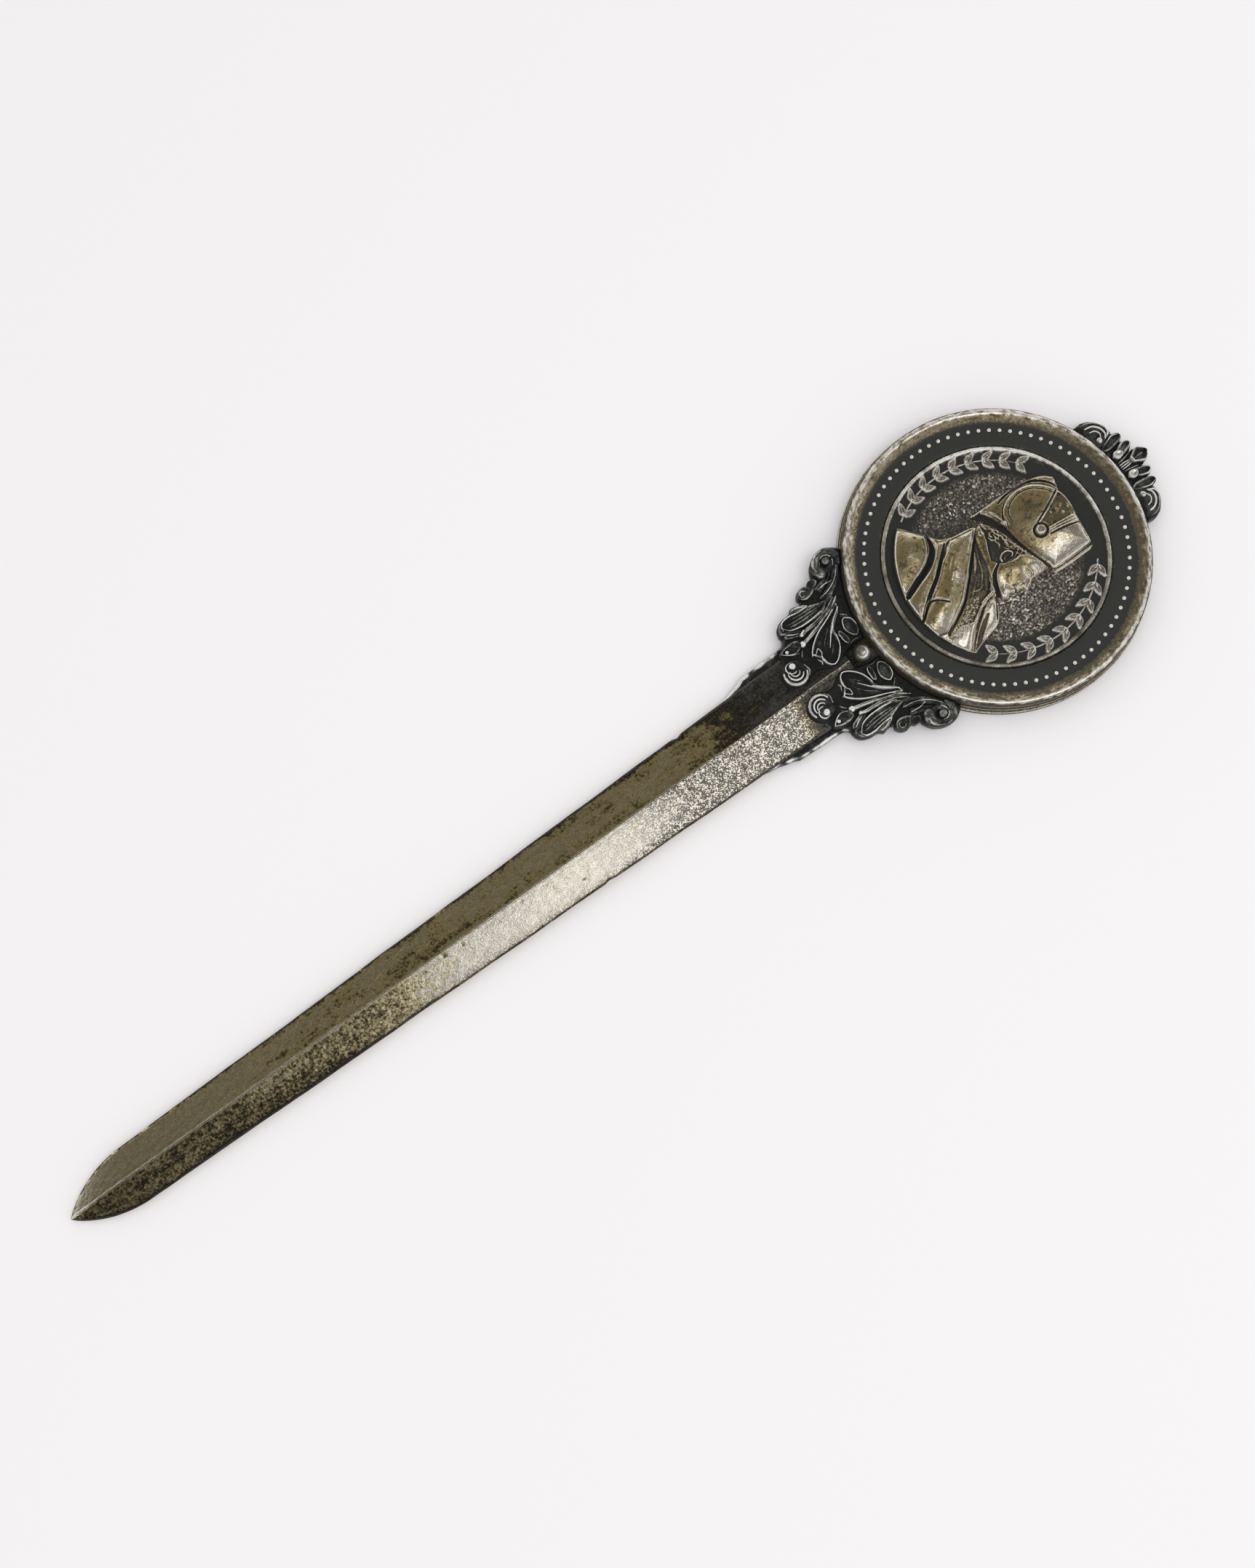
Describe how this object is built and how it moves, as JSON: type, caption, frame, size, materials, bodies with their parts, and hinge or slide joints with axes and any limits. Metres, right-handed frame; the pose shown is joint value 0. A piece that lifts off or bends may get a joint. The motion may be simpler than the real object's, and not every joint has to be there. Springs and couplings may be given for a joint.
{
  "type": "letter opener",
  "caption": "Letter opener with a ridged blade, an acanthus leaf guard, a round beaded medallion with a uniformed bust in relief, and a shell crest.",
  "frame": {"origin": "centre of the medallion's back face", "axes": "+X along the blade from its tip to the crest, +Y across the blade, +Z out of the medallion's front"},
  "size_m": [0.185, 0.045, 0.0049],
  "materials": {
    "blade_metal": "antiqued, worn bright on the ridge",
    "dark_cast_metal": "dark antique patina, worn bright on raised lines",
    "rivet_metal": "worn bright",
    "mount_metal": "dark antique patina",
    "frame_metal": "antiqued, rim rubbed bright",
    "ground_metal": "stippled, dark antique patina",
    "bust_metal": "polished by handling"
  },
  "bodies": {
    "root": {"blade": "blade_metal", "guard_plate": "dark_cast_metal", "left_acanthus": "dark_cast_metal", "right_acanthus": "dark_cast_metal", "shell_crest": "dark_cast_metal", "guard_rivet": "rivet_metal", "backing_disc": "mount_metal", "bezel_plate": "mount_metal", "beaded_frame": "frame_metal", "portrait_roundel": "ground_metal", "portrait_bust": "bust_metal"}
  },
  "joints": []
}
